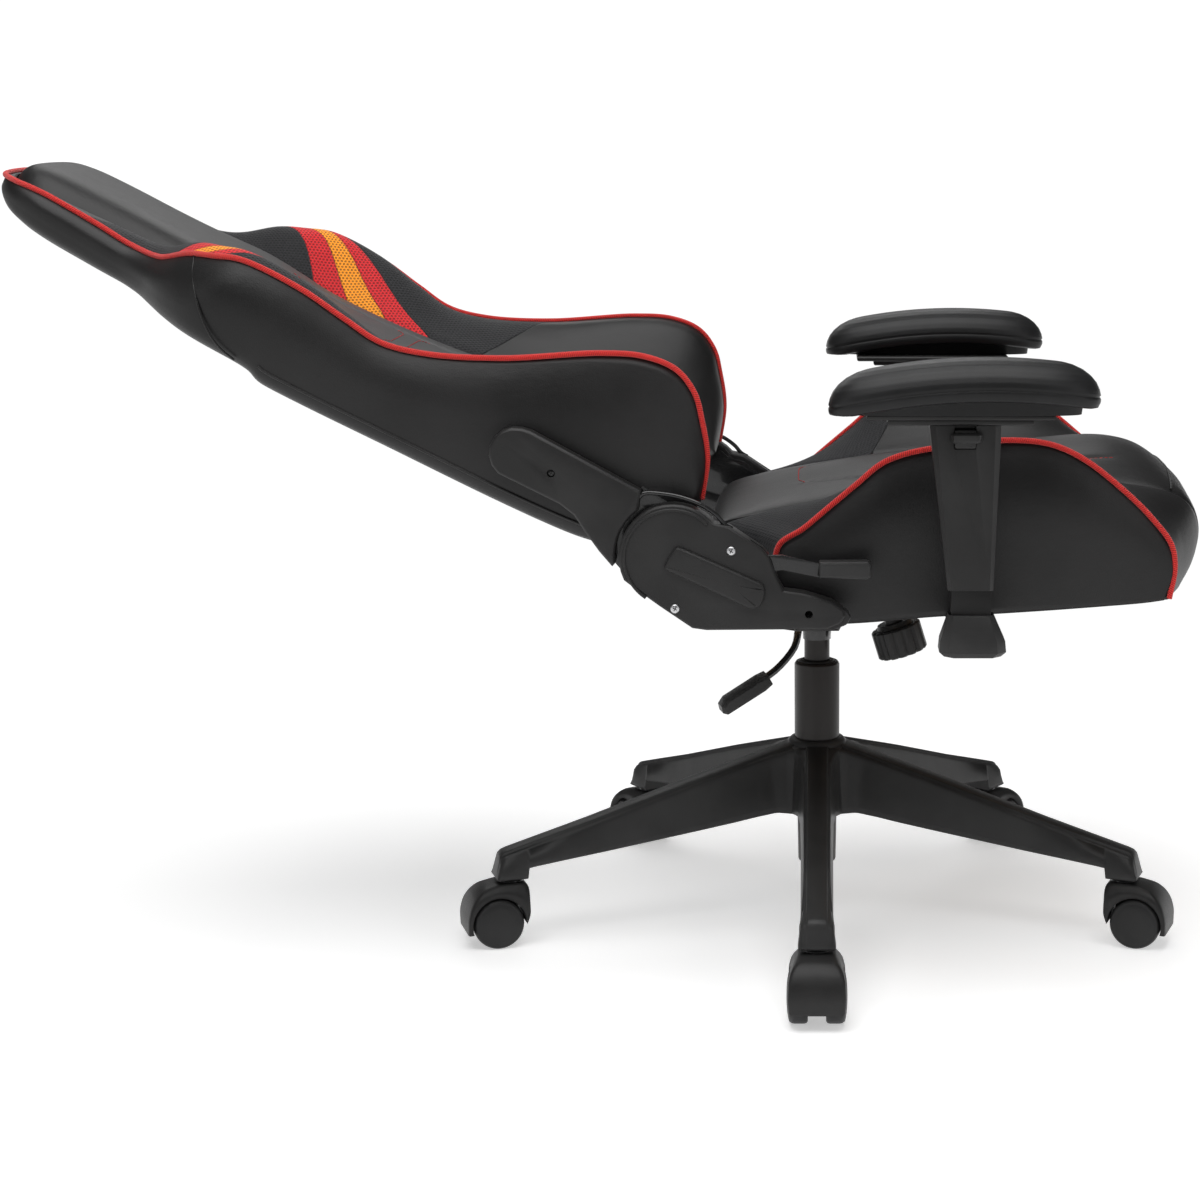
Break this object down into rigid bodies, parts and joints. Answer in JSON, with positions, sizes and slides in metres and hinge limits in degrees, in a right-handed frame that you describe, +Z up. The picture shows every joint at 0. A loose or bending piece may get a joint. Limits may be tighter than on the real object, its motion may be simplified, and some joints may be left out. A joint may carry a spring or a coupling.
{
  "type": "gaming chair",
  "caption": "Reclining racing-style gaming chair with winged back, adjustable armrests, tilt mechanism, gas lift and a five-star base on twin-wheel casters.",
  "frame": {"origin": "on the floor, under the middle of the chair's bounding box as it stands reclined", "axes": "+Z up, -Y the way the sitter faces, -X the sitter's right"},
  "size_m": [0.7727, 1.2286, 0.8284],
  "materials": {
    "leatherette": "soft black leatherette with a fine grain, red piping and red stitching",
    "black_plastic": "black plastic with a fine moulded texture",
    "armrest_pu": "soft black polyurethane skin",
    "black_steel": "gloss black powder coat",
    "tube_steel": "satin brown-black tube",
    "bare_steel": "zinc-plated steel",
    "seat_ply": "plywood board"
  },
  "bodies": {
    "base": {"star_base": "black_plastic", "gas_column": "tube_steel", "column_bush": "black_plastic"},
    "piston": {"gas_piston": "tube_steel"},
    "mechanism": {"tilt_housing": "black_steel", "tilt_pivot_pin": "bare_steel", "tension_spring": "bare_steel"},
    "knob": {"tension_knob": "black_plastic"},
    "lever_carrier": {"lever_sleeve": "black_steel"},
    "height_lever": {"height_lever_rod": "black_steel", "height_lever_paddle": "black_plastic"},
    "seat": {"seat_plate": "black_steel", "seat_board": "seat_ply", "seat_cushion": "leatherette", "seat_bolster_right": "leatherette", "seat_bolster_left": "leatherette", "recliner_plate_right": "black_steel", "recliner_plate_left": "black_steel", "recliner_pin_right": "bare_steel", "recliner_pin_left": "bare_steel", "recliner_cover_right": "black_plastic", "recliner_cover_left": "black_plastic", "arm_bracket_right": "black_steel", "arm_bracket_left": "black_steel", "arm_foot_right": "black_plastic", "arm_foot_left": "black_plastic"},
    "release_lever": {"recline_lever": "black_steel", "recline_grip": "black_plastic"},
    "back": {"back_frame": "black_steel", "back_core": "leatherette", "back_bolster_right": "leatherette", "back_bolster_left": "leatherette", "back_arm_right": "black_steel", "back_arm_left": "black_steel", "back_arm_cover_right": "black_plastic", "back_arm_cover_left": "black_plastic"},
    "arm_slide_right": {"arm_sleeve_right": "black_plastic"},
    "arm_key_right": {"arm_button_right": "black_plastic"},
    "arm_carrier_right": {"pad_carrier_right": "black_plastic"},
    "arm_rest_right": {"arm_pad_right": "armrest_pu"},
    "arm_slide_left": {"arm_sleeve_left": "black_plastic"},
    "arm_key_left": {"arm_button_left": "black_plastic"},
    "arm_carrier_left": {"pad_carrier_left": "black_plastic"},
    "arm_rest_left": {"arm_pad_left": "armrest_pu"},
    "caster_1": {"caster_hood_1": "black_plastic"},
    "wheel_a_1_body": {"wheel_a_1": "black_plastic"},
    "wheel_b_1_body": {"wheel_b_1": "black_plastic"},
    "caster_2": {"caster_hood_2": "black_plastic"},
    "wheel_a_2_body": {"wheel_a_2": "black_plastic"},
    "wheel_b_2_body": {"wheel_b_2": "black_plastic"},
    "caster_3": {"caster_hood_3": "black_plastic"},
    "wheel_a_3_body": {"wheel_a_3": "black_plastic"},
    "wheel_b_3_body": {"wheel_b_3": "black_plastic"},
    "caster_4": {"caster_hood_4": "black_plastic"},
    "wheel_a_4_body": {"wheel_a_4": "black_plastic"},
    "wheel_b_4_body": {"wheel_b_4": "black_plastic"},
    "caster_5": {"caster_hood_5": "black_plastic"},
    "wheel_a_5_body": {"wheel_a_5": "black_plastic"},
    "wheel_b_5_body": {"wheel_b_5": "black_plastic"}
  },
  "joints": [
    {"name": "back_recline", "type": "hinge", "parent": "seat", "child": "back", "pos_m": [0.01, -0.072, 0.454], "axis": [1, 0, 0], "range_deg": [-4, 60]},
    {"name": "base_gas_lift", "type": "slide", "parent": "base", "child": "piston", "axis": [0, 0, 1], "range_m": [0, 0.1]},
    {"name": "base_seat_swivel", "type": "hinge", "parent": "piston", "child": "mechanism", "pos_m": [0.01, -0.215, 0.33], "axis": [0, 0, 1], "continuous": true},
    {"name": "base_tilt_rock", "type": "hinge", "parent": "mechanism", "child": "seat", "pos_m": [0.01, -0.25, 0.367], "axis": [-1, 0, 0], "range_deg": [0, 15], "stiffness_Nm_per_rad": 150, "springref_deg": -28.65},
    {"name": "lever_pull", "type": "slide", "parent": "mechanism", "child": "lever_carrier", "axis": [-1, 0, 0], "range_m": [0, 0.012]},
    {"name": "lever_raise", "type": "hinge", "parent": "lever_carrier", "child": "height_lever", "pos_m": [-0.052, -0.195, 0.352], "axis": [0, 1, 0], "range_deg": [0, 6], "stiffness_Nm_per_rad": 1.5, "springref_deg": -17.19},
    {"name": "release_lever_lift", "type": "hinge", "parent": "seat", "child": "release_lever", "pos_m": [-0.273, -0.157, 0.447], "axis": [-1, 0, 0], "range_deg": [0, 15], "stiffness_Nm_per_rad": 1.5, "springref_deg": -17.19},
    {"name": "tension_turn", "type": "hinge", "parent": "mechanism", "child": "knob", "pos_m": [0.01, -0.301, 0.331], "axis": [0, 0.2924, 0.9563], "range_deg": [-675, 675]},
    {"name": "arm_height_right", "type": "slide", "parent": "seat", "child": "arm_slide_right", "axis": [0, 0, 1], "range_m": [-0.018, 0.06]},
    {"name": "arm_pad_reach_right", "type": "slide", "parent": "arm_slide_right", "child": "arm_carrier_right", "axis": [0, -1, 0], "range_m": [-0.025, 0.025]},
    {"name": "arm_pad_turn_right", "type": "hinge", "parent": "arm_carrier_right", "child": "arm_rest_right", "pos_m": [-0.301, -0.357, 0.602], "axis": [0, 0, 1], "range_deg": [-15, 15]},
    {"name": "arm_press_right", "type": "slide", "parent": "arm_slide_right", "child": "arm_key_right", "axis": [1, 0, 0], "range_m": [0, 0.003], "stiffness_N_per_m": 600, "springref_m": -0.003},
    {"name": "arm_height_left", "type": "slide", "parent": "seat", "child": "arm_slide_left", "axis": [0, 0, 1], "range_m": [-0.018, 0.06]},
    {"name": "arm_pad_reach_left", "type": "slide", "parent": "arm_slide_left", "child": "arm_carrier_left", "axis": [0, -1, 0], "range_m": [-0.025, 0.025]},
    {"name": "arm_pad_turn_left", "type": "hinge", "parent": "arm_carrier_left", "child": "arm_rest_left", "pos_m": [0.321, -0.357, 0.602], "axis": [0, 0, 1], "range_deg": [-15, 15]},
    {"name": "arm_press_left", "type": "slide", "parent": "arm_slide_left", "child": "arm_key_left", "axis": [-1, 0, 0], "range_m": [0, 0.003], "stiffness_N_per_m": 600, "springref_m": -0.003},
    {"name": "swivel_1", "type": "hinge", "parent": "base", "child": "caster_1", "pos_m": [-0.34, -0.215, 0.07], "axis": [0, 0, 1], "continuous": true},
    {"name": "wheel_a_1_roll", "type": "hinge", "parent": "caster_1", "child": "wheel_a_1_body", "pos_m": [-0.3575, -0.215, 0.0275], "axis": [0, -1, 0], "continuous": true},
    {"name": "wheel_b_1_roll", "type": "hinge", "parent": "caster_1", "child": "wheel_b_1_body", "pos_m": [-0.3575, -0.215, 0.0275], "axis": [0, -1, 0], "continuous": true},
    {"name": "swivel_2", "type": "hinge", "parent": "base", "child": "caster_2", "pos_m": [-0.09816, -0.54787, 0.07], "axis": [0, 0, 1], "continuous": true},
    {"name": "wheel_a_2_roll", "type": "hinge", "parent": "caster_2", "child": "wheel_a_2_body", "pos_m": [-0.10356, -0.56451, 0.0275], "axis": [0.9511, -0.309, 0], "continuous": true},
    {"name": "wheel_b_2_roll", "type": "hinge", "parent": "caster_2", "child": "wheel_b_2_body", "pos_m": [-0.10356, -0.56451, 0.0275], "axis": [0.9511, -0.309, 0], "continuous": true},
    {"name": "swivel_3", "type": "hinge", "parent": "base", "child": "caster_3", "pos_m": [0.29316, -0.42072, 0.07], "axis": [0, 0, 1], "continuous": true},
    {"name": "wheel_a_3_roll", "type": "hinge", "parent": "caster_3", "child": "wheel_a_3_body", "pos_m": [0.30731, -0.43101, 0.0275], "axis": [0.5878, 0.809, 0], "continuous": true},
    {"name": "wheel_b_3_roll", "type": "hinge", "parent": "caster_3", "child": "wheel_b_3_body", "pos_m": [0.30731, -0.43101, 0.0275], "axis": [0.5878, 0.809, 0], "continuous": true},
    {"name": "swivel_4", "type": "hinge", "parent": "base", "child": "caster_4", "pos_m": [0.29316, -0.00928, 0.07], "axis": [0, 0, 1], "continuous": true},
    {"name": "wheel_a_4_roll", "type": "hinge", "parent": "caster_4", "child": "wheel_a_4_body", "pos_m": [0.30731, 0.00101, 0.0275], "axis": [-0.5878, 0.809, 0], "continuous": true},
    {"name": "wheel_b_4_roll", "type": "hinge", "parent": "caster_4", "child": "wheel_b_4_body", "pos_m": [0.30731, 0.00101, 0.0275], "axis": [-0.5878, 0.809, 0], "continuous": true},
    {"name": "swivel_5", "type": "hinge", "parent": "base", "child": "caster_5", "pos_m": [-0.09816, 0.11787, 0.07], "axis": [0, 0, 1], "continuous": true},
    {"name": "wheel_a_5_roll", "type": "hinge", "parent": "caster_5", "child": "wheel_a_5_body", "pos_m": [-0.10356, 0.13451, 0.0275], "axis": [-0.9511, -0.309, 0], "continuous": true},
    {"name": "wheel_b_5_roll", "type": "hinge", "parent": "caster_5", "child": "wheel_b_5_body", "pos_m": [-0.10356, 0.13451, 0.0275], "axis": [-0.9511, -0.309, 0], "continuous": true}
  ]
}
